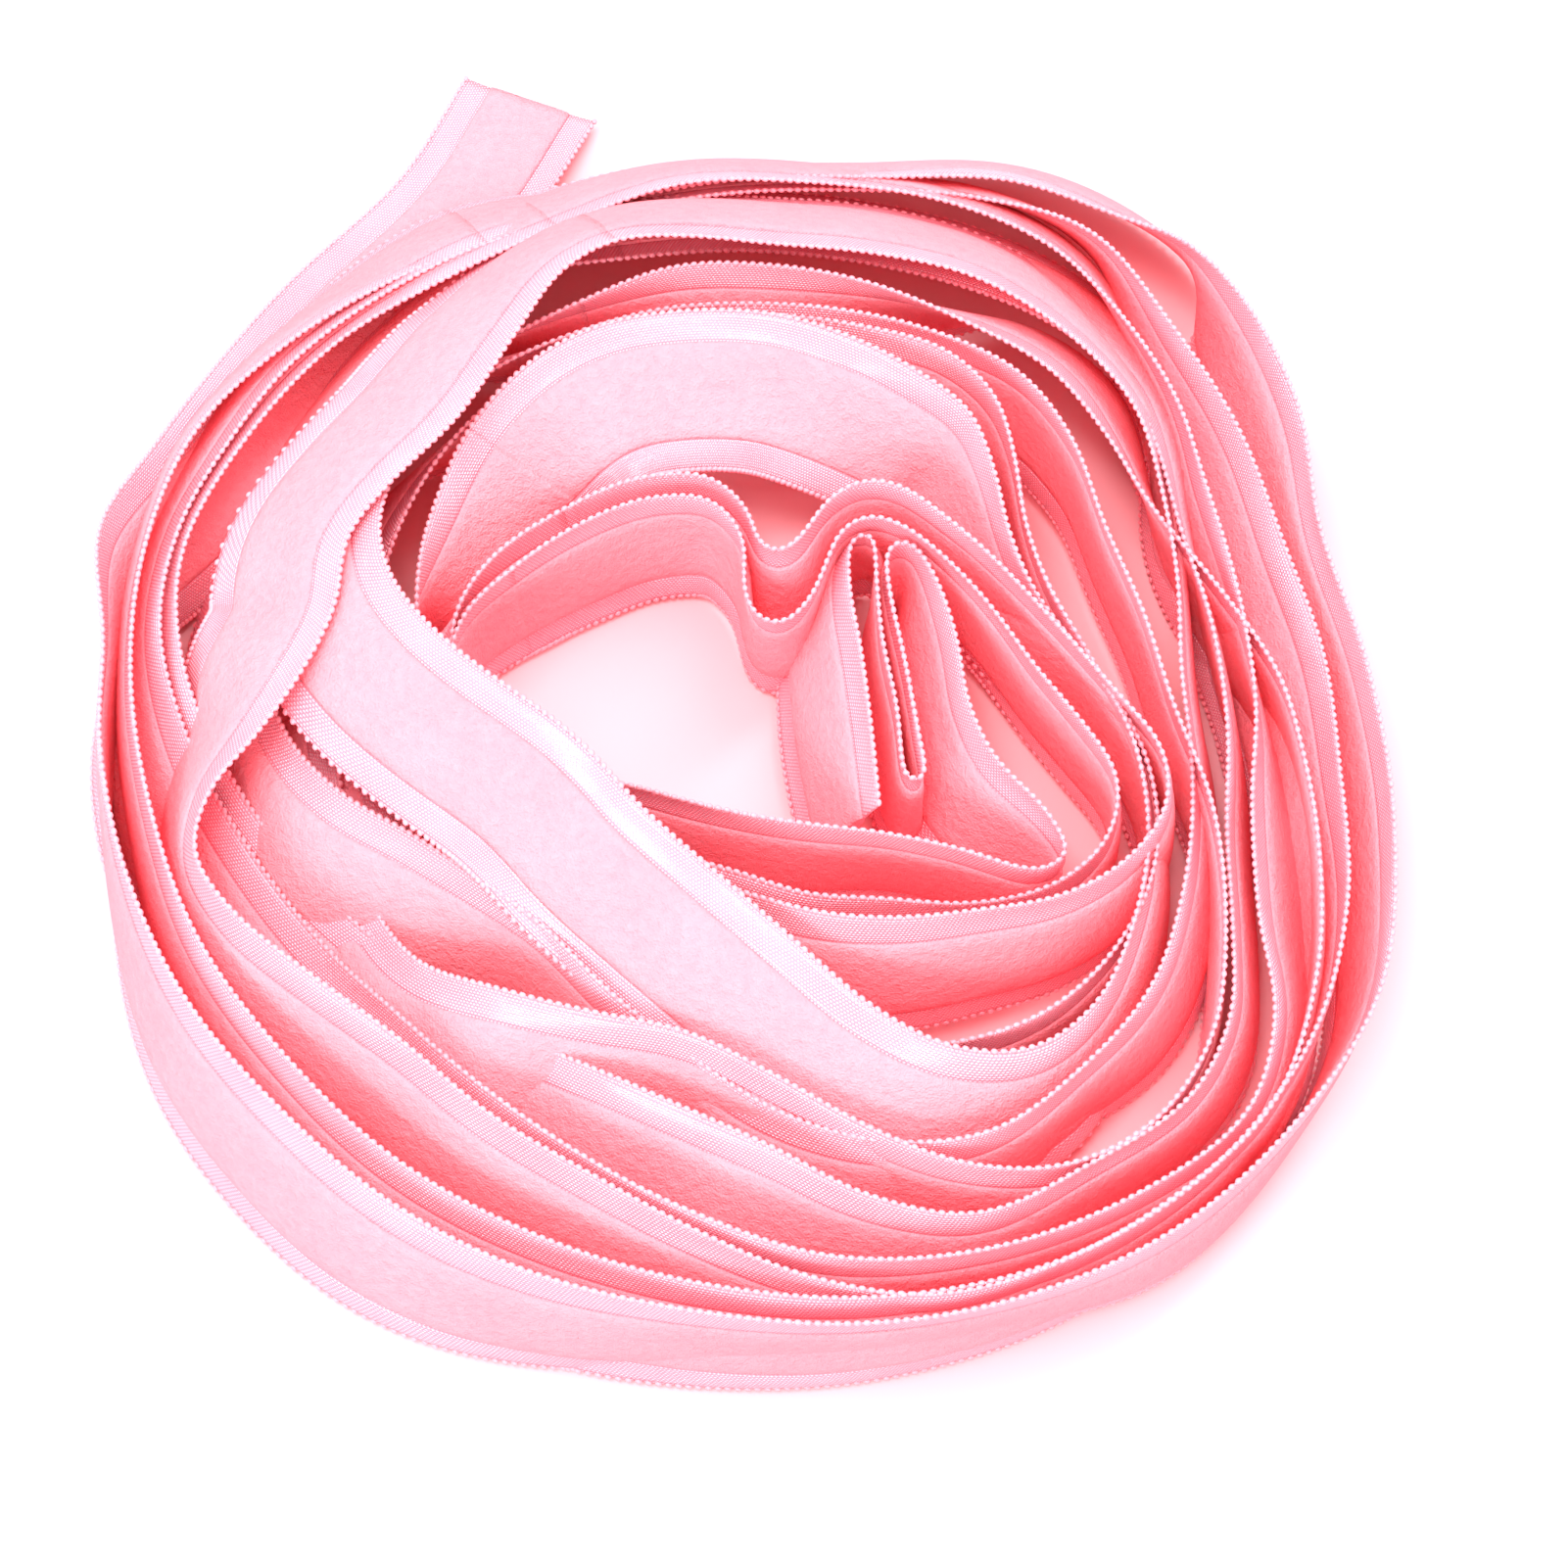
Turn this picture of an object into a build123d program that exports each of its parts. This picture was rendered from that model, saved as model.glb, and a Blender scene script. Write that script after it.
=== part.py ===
from build123d import *
import math
import os

# A flat velvet ribbon wound by hand into a loose nest of turns that stands on a table.
# Lengths are in millimetres and angles in degrees. +Z is up and the table is z = 0.

# The cloth, measured across the ribbon
PICOT = 1.0  # width of the beaded selvedge cord along each edge
SATIN = 4.2  # width of each satin border
VELVET = 14.6  # width of the velvet band
RIBBON_WIDTH = 2 * PICOT + 2 * SATIN + VELVET
PICOT_THICKNESS = 1.0
SATIN_THICKNESS = 0.6
VELVET_THICKNESS = 1.5

# The eye is the open middle that the turns are wound round
EYE_X = -5.97
EYE_Y = -9.87

# Each turn is a list of stations (angle, radius, height, lean), counter-clockwise from above:
# angle and radius place the upper selvedge about the eye, height is the upper selvedge above
# the table, and lean tips the ribbon from upright, with its lower selvedge outward if positive.
# The last station of a turn joins the first station of the next one.
TURNS = [
    [  # 1, the free end and the outermost turn
        (108, 128, 2, -92), (116, 112, 3, -96), (130, 102, 6, -90), (142, 95, 12, -72),
        (154, 91, 18, -45), (166, 90, 23, -20), (178, 84.5, 24, 0), (190, 84.5, 24, 6),
        (204, 85, 24, 14), (218, 86, 23, 24), (232, 87, 22, 30), (245, 90, 23, 28),
        (258, 93.5, 24, 16), (271, 97, 25, 4), (284, 102, 25, -4), (296, 106, 25, -6),
        (308, 109, 25, 2), (320, 110, 25, -2), (332, 110, 25, -10), (346, 104.5, 24, -20),
        (0, 99.5, 24, -22), (13, 97, 24, -24), (25, 102, 25, -26), (36, 105.5, 25, -14),
        (43, 105.5, 25, 10), (50, 104, 20, 34), (60, 101, 20, 40), (72, 92.5, 20, 40),
        (85, 88, 20, 40),
    ],
    [  # 2
        (97, 84.5, 20, 42), (110, 82, 20, 42), (124, 82, 21, 40), (138, 83, 22, 34),
        (152, 84, 23, 26), (167, 82, 24, 18), (182, 80, 25, 14), (198, 79, 25, 14),
        (213, 80, 24, 20), (228, 81, 23, 28), (243, 84, 21, 34), (258, 88, 22, 28),
        (272, 93, 23, 20), (286, 99, 24, 12), (300, 104, 25, 6), (313, 106, 25, 3),
        (326, 105, 25, -4), (338, 101, 25, -14), (350, 96, 23, -28), (2, 94, 21, -36),
        (13, 92, 21, -38), (26, 93, 22, -30), (37, 93.5, 25, -18), (50, 97, 23, 14),
        (62, 95, 20, 38), (74, 89, 20, 40), (86, 85, 20, 42), (98, 82, 20, 44),
    ],
    [  # 3
        (113, 81, 21, 52), (126, 80, 22, 46), (139, 80, 22, 42), (151, 79, 22, 38),
        (163, 79, 22, 34), (176, 77, 22, 30), (190, 72, 18, 46), (205, 67, 14, 58),
        (220, 65, 14, 58), (233, 66, 20, 42), (247, 70, 23, 26), (260, 76, 24, 20),
        (271, 83, 24, 15), (283, 92, 25, 10), (295, 98, 25, 5), (307, 102, 25, 5),
        (318, 104, 25, 10), (326, 99, 25, 20), (334, 90, 24, 27), (345, 84, 24, 27),
        (354, 83, 25, 14), (3, 82, 25, 0), (12, 82, 25, -12), (21, 83, 25, -16),
        (31, 86, 25, -6), (43, 89, 25, 14), (53, 92, 23, 34), (64, 90.5, 23, 40),
        (77, 87, 23, 42), (91, 84.5, 23, 44),
    ],
    [  # 4
        (105, 79, 23, 50), (119, 76, 24, 50), (135, 77, 23, 44), (151, 77, 22, 40),
        (166, 77, 22, 36), (180, 73, 21, 34), (194, 67, 16, 52), (208, 62, 14, 58),
        (222, 59, 14, 58), (238, 59, 17, 54), (252, 61, 20, 46), (262, 64, 23, 40),
        (271, 68, 23, 40), (280, 75, 24, 38), (288, 85, 24, 28), (296, 93, 24, 16),
        (306, 95, 25, 8), (316, 97, 25, 8), (324, 94, 25, 14), (331, 88, 25, 16),
        (340, 82, 25, 16), (352, 79, 25, 12), (4, 77, 26, 8), (16, 76, 26, 12),
        (26, 78, 27, 22), (36, 81, 25, 36), (47, 80.5, 23, 50), (58, 78, 22, 56),
        (71, 75.5, 21, 58), (84, 73.5, 21, 58),
    ],
    [  # 5
        (98, 71, 23, 56), (112, 70, 26, 50), (126, 69, 24, 42), (141, 67, 22, 38),
        (156, 65, 21, 36), (172, 63, 20, 38), (188, 59, 20, 46), (202, 53, 22, 54),
        (216, 46.5, 23, 46), (231, 44.5, 24, 30), (246, 46, 24, 20), (259, 52, 23, 22),
        (271, 60, 22, 26), (282, 70, 21, 32), (292, 79, 22, 22), (301, 84, 24, 10),
        (311, 84, 25, 4), (322, 83, 25, 14), (334, 79, 25, 18), (346, 75, 25, 16),
        (358, 72, 26, 12), (9, 73, 27, 8), (20, 75, 28, 14), (31, 78, 29, 24),
        (43, 78, 29, 38), (55, 76, 30, 48), (67, 71.5, 31, 52), (79, 68, 32, 52),
        (90, 67.5, 33, 50),
    ],
    [  # 6, the turn that twists over the others on the left
        (99, 67, 34, 48), (107, 63, 35, 50), (117, 55, 35, 60), (134, 48, 34, 66),
        (150, 49, 33, 64), (162, 51, 32, 62), (174, 50, 31, 60), (185, 54, 30, 62),
        (194, 62, 29, 52), (199, 70, 28, 34), (205, 75, 27, 20), (213, 74, 26, 30),
        (224, 71, 26, 33), (237, 70, 25, 32), (250, 74, 25, 30), (262, 79, 25, 28),
        (272, 86, 25, 24), (281, 94, 25, 16), (290, 101, 25, 8), (299, 104, 25, 3),
        (309, 105.5, 25, 0), (320, 106, 26, 2), (331, 101, 26, 2), (341, 95, 26, 4),
        (350, 90, 26, 6), (358, 86, 26, 5), (8, 79, 26, 3), (19, 73, 27, 12),
        (30, 72, 28, 26), (41, 72, 28, 40), (53, 69, 29, 34), (66, 68, 29, 4),
        (79, 67.5, 28, -22), (92, 66, 28, -20),
    ],
    [  # 7
        (105, 63, 26, 10), (118, 61, 25, 28), (131, 60, 24, 36), (145, 58, 22, 38),
        (160, 56, 21, 40), (175, 54, 18, 46), (190, 52, 16, 54), (204, 53, 14, 58),
        (218, 56, 14, 58), (231, 58, 19, 56), (244, 57, 25, 52), (257, 56, 25, 40),
        (271, 58, 26, 32), (282, 66, 26, 28), (290, 76, 25, 22), (297, 86, 25, 14),
        (304, 93, 25, 10), (312, 96, 25, 3), (321, 94, 26, 0), (331, 87, 26, 0),
        (342, 79, 27, 0), (353, 71, 27, 0), (5, 67, 28, 0), (18, 65, 28, 0),
        (31, 67, 29, -2), (43, 68, 29, -6), (56, 65, 29, -16), (68, 62, 29, -28),
        (81, 60, 28, -32), (94, 59, 27, -20),
    ],
    [  # 8, the wide turn that crosses below the eye
        (107, 57, 27, 10), (120, 56, 27, 32), (133, 54, 28, 48), (146, 51, 30, 58),
        (157, 48, 31, 64), (167, 43, 32, 68), (178, 36, 33, 70), (191, 29, 33, 70),
        (207, 24, 33, 70), (225, 22, 33, 70), (243, 23, 32, 70), (258, 27, 32, 68),
        (271, 32, 31, 66), (282, 40, 31, 65), (290, 50, 30, 62), (296, 62, 29, 56),
        (302, 72, 28, 44), (309, 78, 27, 28), (317, 79, 27, 14), (326, 76, 27, 14),
        (336, 72, 27, 12), (347, 66, 28, 8), (358, 59, 28, 0), (10, 54, 29, 0),
        (22, 54, 29, 0), (33, 58, 30, -3), (42, 62, 30, -10), (52, 63, 30, -22),
        (64, 60, 30, -34), (77, 58, 29, -42), (91, 57, 28, -42),
    ],
    [  # 9, down under the crossing turn and up into the broad far wall
        (105, 55, 26, -22), (119, 53, 25, 0), (134, 51, 23, 20), (150, 49, 21, 34),
        (166, 47, 19, 42), (182, 46, 17, 48), (198, 46, 16, 52), (214, 45, 15, 55),
        (230, 43, 15, 55), (246, 42, 16, 52), (260, 43, 18, 46), (272, 48, 20, 38),
        (283, 56, 22, 28), (293, 65, 24, 16), (303, 71, 25, 6), (313, 75, 25, 2),
        (324, 76, 26, 0), (335, 74, 26, 0), (346, 68, 27, -2), (357, 59, 28, -4),
        (9, 52, 29, -16), (21, 51, 30, -24), (32, 54, 30, -30), (42, 57, 31, -36),
        (52, 57, 31, -46), (63, 57, 31, -56), (76, 57, 31, -62), (90, 56, 31, -65),
        (104, 55, 31, -66), (117, 53, 30, -66),
    ],
    [  # 10, the near inner wall and the outer fold behind the eye
        (131, 50, 27, -58), (145, 46, 24, -40), (159, 42, 22, -10), (174, 39, 20, 22),
        (190, 37, 18, 42), (207, 35, 16, 54), (225, 33, 16, 58), (243, 31, 17, 54),
        (259, 31, 20, 44), (273, 34, 24, 34), (285, 40, 28, 28), (296, 47, 30, 24),
        (306, 53, 30, 20), (315, 59, 30, 16), (323, 66, 30, 12), (331, 71, 30, 8),
        (339, 73, 30, 6), (346, 70, 30, 4), (352, 63, 30, 2), (0, 56, 30, 0),
        (10, 50, 30, -3), (20, 46, 30, -5), (30, 43, 30, -6), (39, 41, 30, -6),
        (45, 38, 30, -6), (48, 32, 30, -6), (46, 26, 30, -6), (46, 21, 29, -6),
        (56, 20, 28, -8), (68, 25, 27, -10), (84, 30, 26, -14), (104, 31, 25, -16),
    ],
    [  # 11, the same walls again, one thickness nearer the eye
        (126, 31, 24, -18), (150, 33, 23, -14), (170, 34, 20, 10), (188, 33, 17, 34),
        (207, 31, 15, 50), (227, 29, 15, 54), (246, 28, 17, 48), (261, 29, 21, 38),
        (273, 32, 25, 28), (284, 36, 27, 20), (295, 42, 27, 14), (306, 48, 27, 10),
        (316, 57, 27, 6), (325, 64, 27, 3), (334, 67, 27, 2), (342, 65, 27, 2),
        (349, 58, 27, 0), (357, 51, 27, 0), (9, 45, 28, 0), (21, 41, 28, 0),
        (32, 38, 28, 0), (39, 35, 28, 0), (40, 30, 28, 0), (34, 25, 27, 0), (24, 20, 27, 0),
        (18, 15, 26, 0), (32, 12, 26, 0), (52, 14, 26, 0), (66, 21, 26, -6),
        (82, 26, 26, -8), (102, 27, 25, -10), (125, 27, 25, -10),
    ],
    [  # 12, the innermost turn, whose end is tucked into the folds
        (150, 29, 25, -5), (170, 33, 25, 0), (190, 34, 24, 5), (210, 30, 24, 5),
        (230, 25, 25, 5), (250, 22, 25, 5), (270, 23, 25, 5), (290, 27, 25, 5),
        (305, 33, 25, 5), (315, 40, 25, 0), (322, 50, 25, 0), (326, 61, 25, 0),
        (330, 63, 25, -5), (335, 57, 25, -20), (340, 48, 25, -30), (350, 42, 25, -30),
        (5, 40, 25, -30), (20, 39, 26, -20), (30, 38, 26, -5), (31, 35, 26, 0),
        (20, 32, 26, 0), (0, 32, 26, 0), (340, 36, 26, 0), (330, 40, 25, 0),
        (328, 38, 25, -5), (345, 32, 25, -10), (5, 29, 26, -10), (25, 31, 26, -5),
        (36, 34, 26, 0), (39, 32, 25, 15), (25, 27, 25, 25), (5, 26, 25, 30),
        (340, 29, 25, 30), (320, 37, 25, 25),
    ],
]


def lifted(height, lean):
    """The upper selvedge's height, raised where the lower selvedge would be under the table."""
    clearance = max(PICOT_THICKNESS, VELVET_THICKNESS) / 2
    reach = RIBBON_WIDTH * math.cos(math.radians(lean))
    return max(height, reach + clearance, clearance)


def upper_selvedge(station):
    angle, radius, height, lean = station
    turned = math.radians(angle)
    x = EYE_X + radius * math.cos(turned)
    y = EYE_Y + radius * math.sin(turned)
    return Vector(x, y, lifted(height, lean))


def section_planes(stations):
    """A plane across the ribbon at each station: its x runs from the upper selvedge down."""
    edge = [upper_selvedge(station) for station in stations]
    planes = []
    for index, station in enumerate(stations):
        before = edge[max(index - 1, 0)]
        after = edge[min(index + 1, len(edge) - 1)]
        along = (after - before).normalized()
        outward = along.cross(Vector(0, 0, 1)).normalized()
        upward = outward.cross(along)
        lean = math.radians(station[3])
        across = outward * math.sin(lean) - upward * math.cos(lean)
        planes.append(Plane(origin=edge[index], x_dir=across, z_dir=along))
    return planes


def ruled_bar(planes, start, end, thickness):
    """A closed solid with a rectangular section in each plane and ruled walls between them."""
    half = thickness / 2
    corners = [(start, -half), (end, -half), (end, half), (start, half)]
    rails = [[plane.from_local_coords((x, y, 0)) for plane in planes] for x, y in corners]
    faces = [Face(Wire.make_polygon([rail[at] for rail in rails])) for at in (0, -1)]
    for rail, neighbour in zip(rails, rails[1:] + rails[:1]):
        for at in range(len(planes) - 1):
            wall = [[rail[at], rail[at + 1]], [neighbour[at], neighbour[at + 1]]]
            faces.append(Face.make_bezier_surface(wall))
    return Solid(Shell(faces))


def woven_zone(planes, zones, thickness):
    """Zones (from, to) measured from the upper selvedge, along one turn."""
    with BuildPart() as zone:
        for start, end in zones:
            add(ruled_bar(planes, start, end, thickness))
    return zone


os.makedirs("parts", exist_ok=True)

route = [station for turn in TURNS for station in turn]
route_planes = section_planes(route)

satin_start = PICOT
velvet_start = PICOT + SATIN
velvet_end = velvet_start + VELVET
satin_end = velvet_end + SATIN
WEAVE = {
    "velvet_band": ([(velvet_start, velvet_end)], VELVET_THICKNESS),
    "satin_borders": ([(satin_start, velvet_start), (velvet_end, satin_end)], SATIN_THICKNESS),
    "picot_selvedges": ([(0, satin_start), (satin_end, RIBBON_WIDTH)], PICOT_THICKNESS),
}

first = 0
for number, turn in enumerate(TURNS, start=1):
    last = min(first + len(turn), len(route) - 1)
    turn_planes = route_planes[first : last + 1]
    for weave, (zones, thickness) in WEAVE.items():
        name = f"{weave}_turn_{number:02d}"
        piece = woven_zone(turn_planes, zones, thickness)
        piece.part.label = name
        export_step(piece.part, f"parts/{name}.step")
    first += len(turn)
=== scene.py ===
"""A pink velvet ribbon with satin borders and picot edges, wound by hand into a loose nest."""

import math

import bpy
import numpy as np
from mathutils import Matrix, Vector

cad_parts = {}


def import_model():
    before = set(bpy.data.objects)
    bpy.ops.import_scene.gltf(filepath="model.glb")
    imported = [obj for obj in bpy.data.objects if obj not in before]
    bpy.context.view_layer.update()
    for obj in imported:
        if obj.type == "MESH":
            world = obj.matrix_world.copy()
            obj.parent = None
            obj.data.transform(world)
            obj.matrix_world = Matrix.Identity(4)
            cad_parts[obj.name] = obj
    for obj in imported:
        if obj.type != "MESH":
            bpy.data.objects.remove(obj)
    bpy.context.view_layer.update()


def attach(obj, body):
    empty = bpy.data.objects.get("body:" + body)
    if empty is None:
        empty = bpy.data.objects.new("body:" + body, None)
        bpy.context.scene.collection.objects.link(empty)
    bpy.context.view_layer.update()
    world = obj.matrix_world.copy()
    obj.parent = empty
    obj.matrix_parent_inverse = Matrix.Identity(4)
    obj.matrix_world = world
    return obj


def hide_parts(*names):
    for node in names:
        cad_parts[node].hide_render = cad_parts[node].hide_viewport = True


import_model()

MM = 0.001

# The cloth, in millimetres across the ribbon, with the same three widths as the CAD solids.
# The satin is drawn thinner than its solid, and runs a little under its neighbours.
PICOT = 1.0
SATIN = 4.2
VELVET = 14.6
RIBBON_WIDTH = 2 * PICOT + 2 * SATIN + VELVET
BEAD_PITCH = 1.3
BEAD_RADII = (0.56, 0.46, 0.42)  # along the edge, across it and through the cloth
SATIN_THICKNESS = 0.35
VELVET_THICKNESS = 1.5
BEAD_TILT = 0.35  # slant of a bead against the edge, in radians
SATIN_RIM = 0.6  # share of the satin's thickness left along its rims
SATIN_OVERLAP = 0.3  # how far the satin runs under the velvet
SATIN_ROLL = 0.42  # height of the satin's slow ripples
JOINT_INSET = 0.85  # thickness of the cloth where it runs into the next turn
JOINT_NARROWING = 0.2  # share of that inset taken across the ribbon
STEP = 1.6  # distance between the cross-sections of the cloth
CUP = 0.9  # how far the middle of the ribbon bows out of its flat width
TWILL_WIDTH = 0.40  # one column of satin floats, across the ribbon
TWILL_LENGTH = 0.58  # one satin float, along the ribbon
TWILL_SHIFT = 0.37  # how far each column is set on from the last, as a share of a float

# The eye is the open middle that the turns are wound round
EYE_X = -5.97
EYE_Y = -9.87

# Each turn is a list of stations (angle, radius, height, lean), counter-clockwise from above:
# angle and radius place the upper selvedge about the eye, height is the upper selvedge above
# the table, and lean tips the ribbon from upright, with its lower selvedge outward if positive.
TURNS = [
    [  # 1, the free end and the outermost turn
        (108, 128, 2, -92), (116, 112, 3, -96), (130, 102, 6, -90), (142, 95, 12, -72),
        (154, 91, 18, -45), (166, 90, 23, -20), (178, 84.5, 24, 0), (190, 84.5, 24, 6),
        (204, 85, 24, 14), (218, 86, 23, 24), (232, 87, 22, 30), (245, 90, 23, 28),
        (258, 93.5, 24, 16), (271, 97, 25, 4), (284, 102, 25, -4), (296, 106, 25, -6),
        (308, 109, 25, 2), (320, 110, 25, -2), (332, 110, 25, -10), (346, 104.5, 24, -20),
        (0, 99.5, 24, -22), (13, 97, 24, -24), (25, 102, 25, -26), (36, 105.5, 25, -14),
        (43, 105.5, 25, 10), (50, 104, 20, 34), (60, 101, 20, 40), (72, 92.5, 20, 40),
        (85, 88, 20, 40),
    ],
    [  # 2
        (97, 84.5, 20, 42), (110, 82, 20, 42), (124, 82, 21, 40), (138, 83, 22, 34),
        (152, 84, 23, 26), (167, 82, 24, 18), (182, 80, 25, 14), (198, 79, 25, 14),
        (213, 80, 24, 20), (228, 81, 23, 28), (243, 84, 21, 34), (258, 88, 22, 28),
        (272, 93, 23, 20), (286, 99, 24, 12), (300, 104, 25, 6), (313, 106, 25, 3),
        (326, 105, 25, -4), (338, 101, 25, -14), (350, 96, 23, -28), (2, 94, 21, -36),
        (13, 92, 21, -38), (26, 93, 22, -30), (37, 93.5, 25, -18), (50, 97, 23, 14),
        (62, 95, 20, 38), (74, 89, 20, 40), (86, 85, 20, 42), (98, 82, 20, 44),
    ],
    [  # 3
        (113, 81, 21, 52), (126, 80, 22, 46), (139, 80, 22, 42), (151, 79, 22, 38),
        (163, 79, 22, 34), (176, 77, 22, 30), (190, 72, 18, 46), (205, 67, 14, 58),
        (220, 65, 14, 58), (233, 66, 20, 42), (247, 70, 23, 26), (260, 76, 24, 20),
        (271, 83, 24, 15), (283, 92, 25, 10), (295, 98, 25, 5), (307, 102, 25, 5),
        (318, 104, 25, 10), (326, 99, 25, 20), (334, 90, 24, 27), (345, 84, 24, 27),
        (354, 83, 25, 14), (3, 82, 25, 0), (12, 82, 25, -12), (21, 83, 25, -16),
        (31, 86, 25, -6), (43, 89, 25, 14), (53, 92, 23, 34), (64, 90.5, 23, 40),
        (77, 87, 23, 42), (91, 84.5, 23, 44),
    ],
    [  # 4
        (105, 79, 23, 50), (119, 76, 24, 50), (135, 77, 23, 44), (151, 77, 22, 40),
        (166, 77, 22, 36), (180, 73, 21, 34), (194, 67, 16, 52), (208, 62, 14, 58),
        (222, 59, 14, 58), (238, 59, 17, 54), (252, 61, 20, 46), (262, 64, 23, 40),
        (271, 68, 23, 40), (280, 75, 24, 38), (288, 85, 24, 28), (296, 93, 24, 16),
        (306, 95, 25, 8), (316, 97, 25, 8), (324, 94, 25, 14), (331, 88, 25, 16),
        (340, 82, 25, 16), (352, 79, 25, 12), (4, 77, 26, 8), (16, 76, 26, 12),
        (26, 78, 27, 22), (36, 81, 25, 36), (47, 80.5, 23, 50), (58, 78, 22, 56),
        (71, 75.5, 21, 58), (84, 73.5, 21, 58),
    ],
    [  # 5
        (98, 71, 23, 56), (112, 70, 26, 50), (126, 69, 24, 42), (141, 67, 22, 38),
        (156, 65, 21, 36), (172, 63, 20, 38), (188, 59, 20, 46), (202, 53, 22, 54),
        (216, 46.5, 23, 46), (231, 44.5, 24, 30), (246, 46, 24, 20), (259, 52, 23, 22),
        (271, 60, 22, 26), (282, 70, 21, 32), (292, 79, 22, 22), (301, 84, 24, 10),
        (311, 84, 25, 4), (322, 83, 25, 14), (334, 79, 25, 18), (346, 75, 25, 16),
        (358, 72, 26, 12), (9, 73, 27, 8), (20, 75, 28, 14), (31, 78, 29, 24),
        (43, 78, 29, 38), (55, 76, 30, 48), (67, 71.5, 31, 52), (79, 68, 32, 52),
        (90, 67.5, 33, 50),
    ],
    [  # 6, the turn that twists over the others on the left
        (99, 67, 34, 48), (107, 63, 35, 50), (117, 55, 35, 60), (134, 48, 34, 66),
        (150, 49, 33, 64), (162, 51, 32, 62), (174, 50, 31, 60), (185, 54, 30, 62),
        (194, 62, 29, 52), (199, 70, 28, 34), (205, 75, 27, 20), (213, 74, 26, 30),
        (224, 71, 26, 33), (237, 70, 25, 32), (250, 74, 25, 30), (262, 79, 25, 28),
        (272, 86, 25, 24), (281, 94, 25, 16), (290, 101, 25, 8), (299, 104, 25, 3),
        (309, 105.5, 25, 0), (320, 106, 26, 2), (331, 101, 26, 2), (341, 95, 26, 4),
        (350, 90, 26, 6), (358, 86, 26, 5), (8, 79, 26, 3), (19, 73, 27, 12),
        (30, 72, 28, 26), (41, 72, 28, 40), (53, 69, 29, 34), (66, 68, 29, 4),
        (79, 67.5, 28, -22), (92, 66, 28, -20),
    ],
    [  # 7
        (105, 63, 26, 10), (118, 61, 25, 28), (131, 60, 24, 36), (145, 58, 22, 38),
        (160, 56, 21, 40), (175, 54, 18, 46), (190, 52, 16, 54), (204, 53, 14, 58),
        (218, 56, 14, 58), (231, 58, 19, 56), (244, 57, 25, 52), (257, 56, 25, 40),
        (271, 58, 26, 32), (282, 66, 26, 28), (290, 76, 25, 22), (297, 86, 25, 14),
        (304, 93, 25, 10), (312, 96, 25, 3), (321, 94, 26, 0), (331, 87, 26, 0),
        (342, 79, 27, 0), (353, 71, 27, 0), (5, 67, 28, 0), (18, 65, 28, 0),
        (31, 67, 29, -2), (43, 68, 29, -6), (56, 65, 29, -16), (68, 62, 29, -28),
        (81, 60, 28, -32), (94, 59, 27, -20),
    ],
    [  # 8, the wide turn that crosses below the eye
        (107, 57, 27, 10), (120, 56, 27, 32), (133, 54, 28, 48), (146, 51, 30, 58),
        (157, 48, 31, 64), (167, 43, 32, 68), (178, 36, 33, 70), (191, 29, 33, 70),
        (207, 24, 33, 70), (225, 22, 33, 70), (243, 23, 32, 70), (258, 27, 32, 68),
        (271, 32, 31, 66), (282, 40, 31, 65), (290, 50, 30, 62), (296, 62, 29, 56),
        (302, 72, 28, 44), (309, 78, 27, 28), (317, 79, 27, 14), (326, 76, 27, 14),
        (336, 72, 27, 12), (347, 66, 28, 8), (358, 59, 28, 0), (10, 54, 29, 0),
        (22, 54, 29, 0), (33, 58, 30, -3), (42, 62, 30, -10), (52, 63, 30, -22),
        (64, 60, 30, -34), (77, 58, 29, -42), (91, 57, 28, -42),
    ],
    [  # 9, down under the crossing turn and up into the broad far wall
        (105, 55, 26, -22), (119, 53, 25, 0), (134, 51, 23, 20), (150, 49, 21, 34),
        (166, 47, 19, 42), (182, 46, 17, 48), (198, 46, 16, 52), (214, 45, 15, 55),
        (230, 43, 15, 55), (246, 42, 16, 52), (260, 43, 18, 46), (272, 48, 20, 38),
        (283, 56, 22, 28), (293, 65, 24, 16), (303, 71, 25, 6), (313, 75, 25, 2),
        (324, 76, 26, 0), (335, 74, 26, 0), (346, 68, 27, -2), (357, 59, 28, -4),
        (9, 52, 29, -16), (21, 51, 30, -24), (32, 54, 30, -30), (42, 57, 31, -36),
        (52, 57, 31, -46), (63, 57, 31, -56), (76, 57, 31, -62), (90, 56, 31, -65),
        (104, 55, 31, -66), (117, 53, 30, -66),
    ],
    [  # 10, the near inner wall and the outer fold behind the eye
        (131, 50, 27, -58), (145, 46, 24, -40), (159, 42, 22, -10), (174, 39, 20, 22),
        (190, 37, 18, 42), (207, 35, 16, 54), (225, 33, 16, 58), (243, 31, 17, 54),
        (259, 31, 20, 44), (273, 34, 24, 34), (285, 40, 28, 28), (296, 47, 30, 24),
        (306, 53, 30, 20), (315, 59, 30, 16), (323, 66, 30, 12), (331, 71, 30, 8),
        (339, 73, 30, 6), (346, 70, 30, 4), (352, 63, 30, 2), (0, 56, 30, 0),
        (10, 50, 30, -3), (20, 46, 30, -5), (30, 43, 30, -6), (39, 41, 30, -6),
        (45, 38, 30, -6), (48, 32, 30, -6), (46, 26, 30, -6), (46, 21, 29, -6),
        (56, 20, 28, -8), (68, 25, 27, -10), (84, 30, 26, -14), (104, 31, 25, -16),
    ],
    [  # 11, the same walls again, one thickness nearer the eye
        (126, 31, 24, -18), (150, 33, 23, -14), (170, 34, 20, 10), (188, 33, 17, 34),
        (207, 31, 15, 50), (227, 29, 15, 54), (246, 28, 17, 48), (261, 29, 21, 38),
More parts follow.
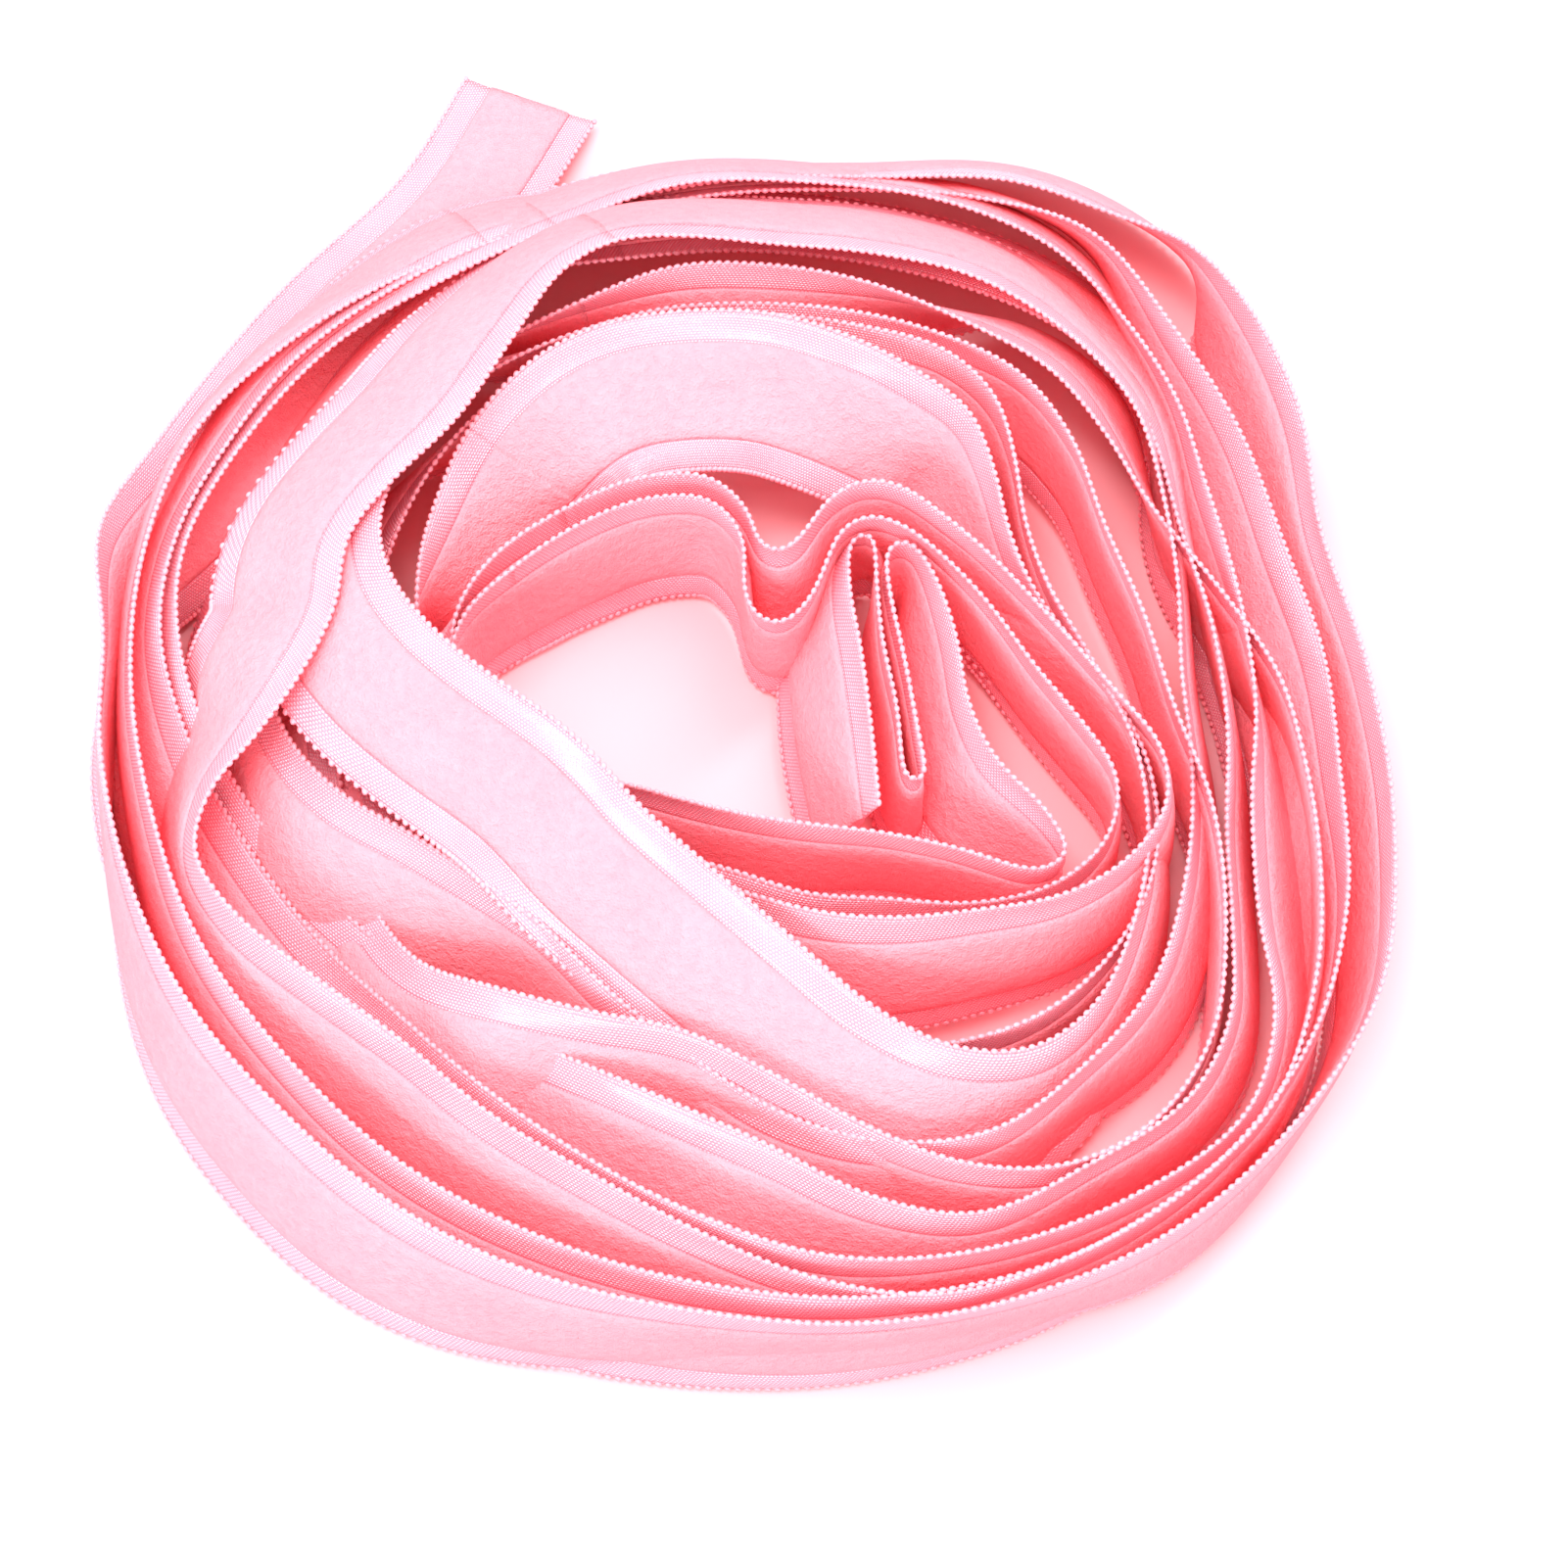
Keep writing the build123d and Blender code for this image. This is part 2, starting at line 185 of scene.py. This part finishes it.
        (273, 32, 25, 28), (284, 36, 27, 20), (295, 42, 27, 14), (306, 48, 27, 10),
        (316, 57, 27, 6), (325, 64, 27, 3), (334, 67, 27, 2), (342, 65, 27, 2),
        (349, 58, 27, 0), (357, 51, 27, 0), (9, 45, 28, 0), (21, 41, 28, 0),
        (32, 38, 28, 0), (39, 35, 28, 0), (40, 30, 28, 0), (34, 25, 27, 0), (24, 20, 27, 0),
        (18, 15, 26, 0), (32, 12, 26, 0), (52, 14, 26, 0), (66, 21, 26, -6),
        (82, 26, 26, -8), (102, 27, 25, -10), (125, 27, 25, -10),
    ],
    [  # 12, the innermost turn, whose end is tucked into the folds
        (150, 29, 25, -5), (170, 33, 25, 0), (190, 34, 24, 5), (210, 30, 24, 5),
        (230, 25, 25, 5), (250, 22, 25, 5), (270, 23, 25, 5), (290, 27, 25, 5),
        (305, 33, 25, 5), (315, 40, 25, 0), (322, 50, 25, 0), (326, 61, 25, 0),
        (330, 63, 25, -5), (335, 57, 25, -20), (340, 48, 25, -30), (350, 42, 25, -30),
        (5, 40, 25, -30), (20, 39, 26, -20), (30, 38, 26, -5), (31, 35, 26, 0),
        (20, 32, 26, 0), (0, 32, 26, 0), (340, 36, 26, 0), (330, 40, 25, 0),
        (328, 38, 25, -5), (345, 32, 25, -10), (5, 29, 26, -10), (25, 31, 26, -5),
        (36, 34, 26, 0), (39, 32, 25, 15), (25, 27, 25, 25), (5, 26, 25, 30),
        (340, 29, 25, 30), (320, 37, 25, 25),
    ],
]


# ---------------------------------------------------------------- route

def lifted(height, lean):
    """The upper selvedge's height, raised where the lower selvedge would be under the table."""
    clearance = VELVET_THICKNESS / 2
    reach = RIBBON_WIDTH * math.cos(math.radians(lean))
    return max(height, reach + clearance, clearance)


def station_point(station):
    angle, radius, height, lean = station
    turned = math.radians(angle)
    x = EYE_X + radius * math.cos(turned)
    y = EYE_Y + radius * math.sin(turned)
    return (x, y, lifted(height, lean), lean)


def between(p0, p1, p2, p3, count):
    """Points of a centripetal Catmull-Rom curve from p1 towards p2, p1 included."""
    knots = [0.0]
    for a, b in ((p0, p1), (p1, p2), (p2, p3)):
        knots.append(knots[-1] + max(np.linalg.norm(b[:3] - a[:3]), 1e-6) ** 0.5)
    t0, t1, t2, t3 = knots
    t = np.linspace(t1, t2, count, endpoint=False)[:, None]
    a1 = (t1 - t) / (t1 - t0) * p0 + (t - t0) / (t1 - t0) * p1
    a2 = (t2 - t) / (t2 - t1) * p1 + (t - t1) / (t2 - t1) * p2
    a3 = (t3 - t) / (t3 - t2) * p2 + (t - t2) / (t3 - t2) * p3
    b1 = (t2 - t) / (t2 - t0) * a1 + (t - t0) / (t2 - t0) * a2
    b2 = (t3 - t) / (t3 - t1) * a2 + (t - t1) / (t3 - t1) * a3
    return (t2 - t) / (t2 - t1) * b1 + (t - t1) / (t2 - t1) * b2


def smooth_route():
    """The upper selvedge and lean at every cross-section, and where each turn starts."""
    points = [np.array(station_point(s)) for turn in TURNS for s in turn]
    starts = []
    rows = []
    count = 0
    station = 0
    for turn in TURNS:
        starts.append(count)
        for _ in turn:
            if station == len(points) - 1:
                break
            p1 = points[station]
            p2 = points[station + 1]
            p0 = points[station - 1] if station else 2 * p1 - p2
            p3 = points[station + 2] if station + 2 < len(points) else 2 * p2 - p1
            pieces = max(2, round(np.linalg.norm(p2[:3] - p1[:3]) / STEP))
            rows.append(between(p0, p1, p2, p3, pieces))
            count += pieces
            station += 1
    rows.append(points[-1][None, :])
    starts.append(count)
    return np.vstack(rows), starts


def unit(vectors):
    return vectors / np.linalg.norm(vectors, axis=1, keepdims=True)


def soften(rows, passes):
    """Each row averaged with its neighbours, ends kept."""
    for _ in range(passes):
        middle = (rows[:-2] + 2 * rows[1:-1] + rows[2:]) / 4
        rows = np.vstack([rows[:1], middle, rows[-1:]])
    return rows


class Cloth:
    """The ribbon as a surface: where a point w mm from the upper selvedge lies at a section."""

    def __init__(self):
        route, self.starts = smooth_route()
        self.upper = soften(route[:, :3], 3)
        lean = np.radians(soften(route[:, 3:], 6))
        along = unit(np.gradient(self.upper, axis=0))
        outward = unit(np.cross(along, (0.0, 0.0, 1.0)))
        upward = np.cross(outward, along)
        self.across = unit(soften(outward * np.sin(lean) - upward * np.cos(lean), 4))
        self.normal = unit(np.cross(self.across, along))
        self.along = along
        steps = np.linalg.norm(np.diff(self.upper, axis=0), axis=1)
        self.length = np.concatenate([[0.0], np.cumsum(steps)])
        self.cup = CUP * (0.75 + 0.45 * np.sin(self.length / 23.0) * np.sin(self.length / 61.0 + 1))

    def point(self, rows, w, off):
        """Points at sections rows, w across and off along the face normal (broadcast arrays)."""
        bow = self.cup[rows] * (1 - (2 * w / RIBBON_WIDTH - 1) ** 2)
        return (
            self.upper[rows]
            + self.across[rows] * np.asarray(w)[..., None]
            + self.normal[rows] * np.asarray(bow + off)[..., None]
        )


cloth = Cloth()


# ---------------------------------------------------------------- meshes

def make_mesh(name, vertices, faces, uvs=None, flat_faces=()):
    mesh = bpy.data.meshes.new(name)
    mesh.from_pydata((np.asarray(vertices) * MM).tolist(), [], faces)
    smooth = np.ones(len(faces), dtype=bool)
    smooth[list(flat_faces)] = False
    mesh.polygons.foreach_set("use_smooth", smooth)
    if uvs is not None:
        layer = mesh.uv_layers.new(name="weave")
        corner = np.empty(len(mesh.loops), dtype=np.int32)
        mesh.loops.foreach_get("vertex_index", corner)
        layer.data.foreach_set("uv", np.asarray(uvs)[corner].ravel())
    mesh.update()
    piece = bpy.data.objects.new(name, mesh)
    bpy.context.scene.collection.objects.link(piece)
    return piece


def strip(first, last, widths, halves, roll=0.0):
    """A closed strip of cloth from one section to another: vertices, faces, uvs, end faces.

    widths are places across the ribbon, halves the half thickness at each of them. The strip
    runs one section into the next turn and narrows there, so that no crack shows at the joint.
    """
    rows = np.arange(first, min(last + 1, len(cloth.length) - 1) + 1)
    ring_w = np.concatenate([widths, widths[::-1]])
    ring_off = np.concatenate([halves, -halves[::-1]])
    around = len(ring_w)
    inset = np.where(rows > last, JOINT_INSET, 1.0)[:, None]
    middle = (widths[0] + widths[-1]) / 2
    w = middle + (ring_w - middle) * (1 - (1 - inset) * JOINT_NARROWING)
    off = ring_off * inset
    wave = np.sin(cloth.length[rows] / 7.3 + widths[0]) + np.sin(cloth.length[rows] / 17.0)
    bulge = 1 - ((ring_w - middle) / (widths[-1] - widths[0]) * 2) ** 2
    off = off + roll * 0.5 * wave[:, None] * bulge
    grid = np.broadcast_to(rows[:, None], (len(rows), around))
    vertices = cloth.point(grid, w, off).reshape(-1, 3)
    uvs = np.stack([w / RIBBON_WIDTH, cloth.length[grid] / RIBBON_WIDTH], axis=-1).reshape(-1, 2)
    faces = []
    for row in range(len(rows) - 1):
        base = row * around
        for k in range(around):
            after = (k + 1) % around
            faces.append((base + k, base + around + k, base + around + after, base + after))
    ends = [len(faces), len(faces) + 1]
    faces.append(tuple(range(around)))
    faces.append(tuple(reversed(range((len(rows) - 1) * around, len(rows) * around))))
    return vertices, faces, uvs, ends


def joined(parts):
    """Several strips as one set of vertices, faces, uvs and end faces."""
    vertices = []
    faces = []
    uvs = []
    ends = []
    offset = 0
    for part_vertices, part_faces, part_uvs, part_ends in parts:
        vertices.append(part_vertices)
        uvs.append(part_uvs)
        ends += [len(faces) + end for end in part_ends]
        faces += [tuple(v + offset for v in face) for face in part_faces]
        offset += len(part_vertices)
    return np.vstack(vertices), faces, np.vstack(uvs), ends


def velvet_band(turn, first, last):
    start = PICOT + SATIN
    widths = start + VELVET * (1 - np.cos(np.linspace(0, np.pi, 11))) / 2
    place = np.clip((widths - start) / VELVET * 2 - 1, -1.0, 1.0)
    halves = VELVET_THICKNESS / 2 * (0.30 + 0.70 * (1 - np.abs(place) ** 5) ** 0.5)
    vertices, faces, uvs, ends = strip(first, last, widths, halves)
    return make_mesh(f"velvet_{turn:02d}", vertices, faces, uvs, ends)


def satin_borders(turn, first, last):
    parts = []
    for start in (PICOT * 0.5, PICOT + SATIN + VELVET - SATIN_OVERLAP):
        widths = np.linspace(start, start + SATIN + PICOT * 0.5 + SATIN_OVERLAP, 6)
        halves = np.full(6, SATIN_THICKNESS / 2)
        halves[[0, -1]] *= SATIN_RIM
        parts.append(strip(first, last, widths, halves, roll=SATIN_ROLL))
    vertices, faces, uvs, ends = joined(parts)
    return make_mesh(f"satin_{turn:02d}", vertices, faces, uvs, ends)


def bead_shape(sides=8, rings=3):
    """A small egg of unit radius: poles along the edge direction."""
    points = [(1.0, 0.0, 0.0)]
    for ring in range(1, rings + 1):
        polar = math.pi * ring / (rings + 1)
        for side in range(sides):
            turn = 2 * math.pi * side / sides
            points.append((math.cos(polar), math.sin(polar) * math.cos(turn),
                           math.sin(polar) * math.sin(turn)))
    points.append((-1.0, 0.0, 0.0))
    faces = []
    for side in range(sides):
        after = (side + 1) % sides
        faces.append((0, 1 + side, 1 + after))
        for ring in range(rings - 1):
            a = 1 + ring * sides
            faces.append((a + side, a + sides + side, a + sides + after, a + after))
        last = 1 + (rings - 1) * sides
        faces.append((last + side, len(points) - 1, last + after))
    return np.array(points), faces


BEAD_POINTS, BEAD_FACES = bead_shape()


def picot_selvedges(turn, first, last):
    """A row of slanting beads along each edge, in step from one turn to the next."""
    begin = cloth.length[first]
    end = cloth.length[last]
    numbers = np.arange(math.ceil(begin / BEAD_PITCH), math.floor(end / BEAD_PITCH) + 1)
    places = np.interp(numbers * BEAD_PITCH, cloth.length, np.arange(len(cloth.length)))
    low = np.minimum(places.astype(int), len(cloth.length) - 2)
    share = (places - low)[:, None]
    along = cloth.along[low]
    across = cloth.across[low]
    normal = cloth.normal[low]
    vertices = []
    faces = []
    for w in (PICOT / 2, RIBBON_WIDTH - PICOT / 2):
        here = cloth.point(low, np.full(len(low), w), np.zeros(len(low)))
        there = cloth.point(low + 1, np.full(len(low), w), np.zeros(len(low)))
        centre = here * (1 - share) + there * share
        for bead in range(len(low)):
            a = along[bead] * math.cos(BEAD_TILT) + across[bead] * math.sin(BEAD_TILT)
            b = across[bead] * math.cos(BEAD_TILT) - along[bead] * math.sin(BEAD_TILT)
            axes = np.stack([a * BEAD_RADII[0], b * BEAD_RADII[1],
                             normal[bead] * BEAD_RADII[2]])
            offset = len(vertices) * len(BEAD_POINTS)
            vertices.append(centre[bead] + BEAD_POINTS @ axes)
            faces += [tuple(v + offset for v in face) for face in BEAD_FACES]
    vertices = np.vstack(vertices)
    uvs = np.zeros((len(vertices), 2))
    return make_mesh(f"picot_{turn:02d}", vertices, faces, uvs)


# ---------------------------------------------------------------- materials

class Nodes:
    """Short ways to add and link shader nodes."""

    def __init__(self, name):
        self.material = bpy.data.materials.new(name)
        self.material.use_nodes = True
        self.tree = self.material.node_tree
        self.shader = self.tree.nodes["Principled BSDF"]

    def add(self, kind, inputs=(), **settings):
        node = self.tree.nodes.new(kind)
        for key, value in settings.items():
            setattr(node, key, value)
        for key, value in dict(inputs).items():
            if isinstance(value, bpy.types.NodeSocket):
                self.tree.links.new(value, node.inputs[key])
            else:
                node.inputs[key].default_value = value
        return node

    def maths(self, operation, a, b=0.0, c=0.0):
        return self.add("ShaderNodeMath", {0: a, 1: b, 2: c}, operation=operation).outputs[0]

    def mix(self, factor, a, b):
        node = self.add("ShaderNodeMix", data_type="RGBA")
        for socket, value in ((node.inputs[0], factor), (node.inputs[6], a), (node.inputs[7], b)):
            if isinstance(value, bpy.types.NodeSocket):
                self.tree.links.new(value, socket)
            else:
                socket.default_value = value
        return node.outputs[2]

    def link(self, output, name):
        self.tree.links.new(output, self.shader.inputs[name])

    def set(self, **values):
        for key, value in values.items():
            self.shader.inputs[key.replace("_", " ")].default_value = value


def velvet_material():
    n = Nodes("velvet_pile")
    place = n.add("ShaderNodeTexCoord").outputs["Object"]
    pile = n.add("ShaderNodeTexNoise", {"Vector": place, "Scale": 3000.0, "Detail": 2.0})
    tufts = n.add("ShaderNodeTexNoise", {"Vector": place, "Scale": 700.0, "Detail": 4.0})
    nap = n.add("ShaderNodeTexNoise", {"Vector": place, "Scale": 75.0, "Detail": 3.0})
    shade = n.mix(nap.outputs[0], (1.0, 0.25, 0.30, 1), (1.0, 0.35, 0.41, 1))
    speck = n.mix(tufts.outputs[0], (1.0, 0.17, 0.24, 1), (1.0, 0.38, 0.43, 1))
    n.link(n.mix(0.4, shade, speck), "Base Color")
    height = n.maths("ADD", pile.outputs[0], n.maths("MULTIPLY", tufts.outputs[0], 1.6))
    bump = n.add("ShaderNodeBump", {"Strength": 0.75, "Distance": 0.0005, "Height": height})
    n.link(bump.outputs[0], "Normal")
    n.set(Roughness=1.0, Sheen_Weight=0.12, Sheen_Roughness=0.5, Specular_IOR_Level=0.03)
    n.shader.inputs["Sheen Tint"].default_value = (1.0, 0.60, 0.62, 1)
    return n.material


def satin_material():
    """Twill: short bright floats in slanting rows, and glossy."""
    n = Nodes("satin_twill")
    uv = n.add("ShaderNodeUVMap", uv_map="weave").outputs[0]
    split = n.add("ShaderNodeSeparateXYZ", {0: uv})
    across = n.maths("MULTIPLY", split.outputs[0], RIBBON_WIDTH / TWILL_WIDTH)
    column = n.maths("FLOOR", across)
    along = n.maths("MULTIPLY_ADD", split.outputs[1], RIBBON_WIDTH / TWILL_LENGTH,
                    n.maths("MULTIPLY", column, TWILL_SHIFT))
    x = n.maths("ABSOLUTE", n.maths("SUBTRACT", n.maths("FRACT", across), 0.5))
    y = n.maths("ABSOLUTE", n.maths("SUBTRACT", n.maths("FRACT", along), 0.5))
    reach = n.maths("ADD", n.maths("MULTIPLY", n.maths("MULTIPLY", x, x), 4.2),
                    n.maths("MULTIPLY", n.maths("MULTIPLY", y, y), 4.2))
    thread = n.add("ShaderNodeClamp", {"Value": n.maths("SUBTRACT", 1.0, reach)}).outputs[0]
    place = n.add("ShaderNodeTexCoord").outputs["Object"]
    soft = n.add("ShaderNodeTexNoise", {"Vector": place, "Scale": 110.0, "Detail": 2.0})
    ground = n.mix(soft.outputs[0], (0.97, 0.19, 0.27, 1), (0.99, 0.31, 0.39, 1))
    n.link(n.mix(n.maths("MULTIPLY", thread, 0.85), ground, (1.0, 0.51, 0.61, 1)), "Base Color")
    bump = n.add("ShaderNodeBump", {"Strength": 0.8, "Distance": 0.0002, "Height": thread})
    n.link(bump.outputs[0], "Normal")
    n.set(Roughness=0.22, Specular_IOR_Level=1.0, Sheen_Weight=0.0,
          Anisotropic=0.6)
    return n.material


def picot_material():
    n = Nodes("picot_thread")
    place = n.add("ShaderNodeTexCoord").outputs["Object"]
    wave = n.add("ShaderNodeTexNoise", {"Vector": place, "Scale": 1800.0, "Detail": 2.0})
    n.link(n.mix(wave.outputs[0], (0.98, 0.24, 0.31, 1), (1.0, 0.40, 0.47, 1)), "Base Color")
    bump = n.add("ShaderNodeBump", {"Strength": 0.5, "Distance": 0.0002,
                                    "Height": wave.outputs[0]})
    n.link(bump.outputs[0], "Normal")
    n.set(Roughness=0.45, Specular_IOR_Level=0.6, Sheen_Weight=0.2)
    return n.material


# ---------------------------------------------------------------- the ribbon

WEAVES = {
    "velvet": (velvet_band, "velvet_band", velvet_material()),
    "satin": (satin_borders, "satin_borders", satin_material()),
    "picot": (picot_selvedges, "picot_selvedges", picot_material()),
}


def make_turn(turn):
    first = cloth.starts[turn - 1]
    last = cloth.starts[turn]
    for slot, (build, node, material) in WEAVES.items():
        piece = build(turn, first, last)
        piece.data.materials.append(material)
        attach(piece, "root")
        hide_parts(f"{node}_turn_{turn:02d}")
    length = cloth.length[last] - cloth.length[first]
    return length


lengths = [make_turn(turn) for turn in range(1, len(TURNS) + 1)]
print("ribbon length mm", round(sum(lengths)))


# ---------------------------------------------------------------- stage, light and camera

def floor():
    mesh = bpy.data.meshes.new("table_top")
    half = 3.0
    mesh.from_pydata([(-half, -half, 0), (half, -half, 0), (half, half, 0), (-half, half, 0)],
                     [], [(0, 1, 2, 3)])
    top = bpy.data.objects.new("table_top", mesh)
    bpy.context.scene.collection.objects.link(top)
    n = Nodes("pale_table")
    n.set(Roughness=0.9, Specular_IOR_Level=0.1)
    n.shader.inputs["Base Color"].default_value = (0.93, 0.49, 0.53, 1)
    mesh.materials.append(n.material)


def softbox(name, place, target, size, power):
    light = bpy.data.lights.new(name, "AREA")
    light.shape = "RECTANGLE"
    light.size, light.size_y = size
    light.energy = power
    lamp = bpy.data.objects.new(name, light)
    bpy.context.scene.collection.objects.link(lamp)
    lamp.location = place
    lamp.rotation_euler = aim(place, target)


def aim(place, target):
    return (Vector(target) - Vector(place)).to_track_quat("-Z", "Y").to_euler()


def world():
    """A white studio, brightest overhead."""
    sky = bpy.data.worlds.new("white_studio")
    sky.use_nodes = True
    tree = sky.node_tree
    place = tree.nodes.new("ShaderNodeTexCoord")
    split = tree.nodes.new("ShaderNodeSeparateXYZ")
    ramp = tree.nodes.new("ShaderNodeValToRGB")
    tree.links.new(place.outputs["Generated"], split.inputs[0])
    tree.links.new(split.outputs[2], ramp.inputs[0])
    ramp.color_ramp.elements[0].position = 0.15
    ramp.color_ramp.elements[0].color = (0.62, 0.60, 0.61, 1)
    ramp.color_ramp.elements[1].position = 0.75
    ramp.color_ramp.elements[1].color = (1, 1, 1, 1)
    tree.links.new(ramp.outputs[0], tree.nodes["Background"].inputs[0])
    tree.nodes["Background"].inputs[1].default_value = 1.72
    bpy.context.scene.world = sky


def camera():
    elevation = math.radians(65)
    distance = 0.445
    target = (0.00863, -0.02587, 0.015)
    place = (target[0], target[1] - distance * math.cos(elevation),
             target[2] + distance * math.sin(elevation))
    lens = bpy.data.cameras.new("camera")
    lens.lens = 70
    lens.sensor_width = 36
    eye = bpy.data.objects.new("camera", lens)
    bpy.context.scene.collection.objects.link(eye)
    eye.location = place
    eye.rotation_euler = aim(place, target)
    bpy.context.scene.camera = eye


floor()
world()
softbox("key", (-0.15, -0.1, 0.95), (0, 0, 0), (0.5, 0.22), 6)
softbox("fill", (0.35, 0.35, 0.85), (0, 0, 0), (0.16, 0.6), 4)
softbox("front", (-0.4, -0.75, 0.55), (0, 0, 0), (0.7, 0.25), 6.5)
camera()
scene = bpy.context.scene
scene.view_settings.view_transform = "Standard"
scene.cycles.max_bounces = 36
scene.cycles.diffuse_bounces = 32
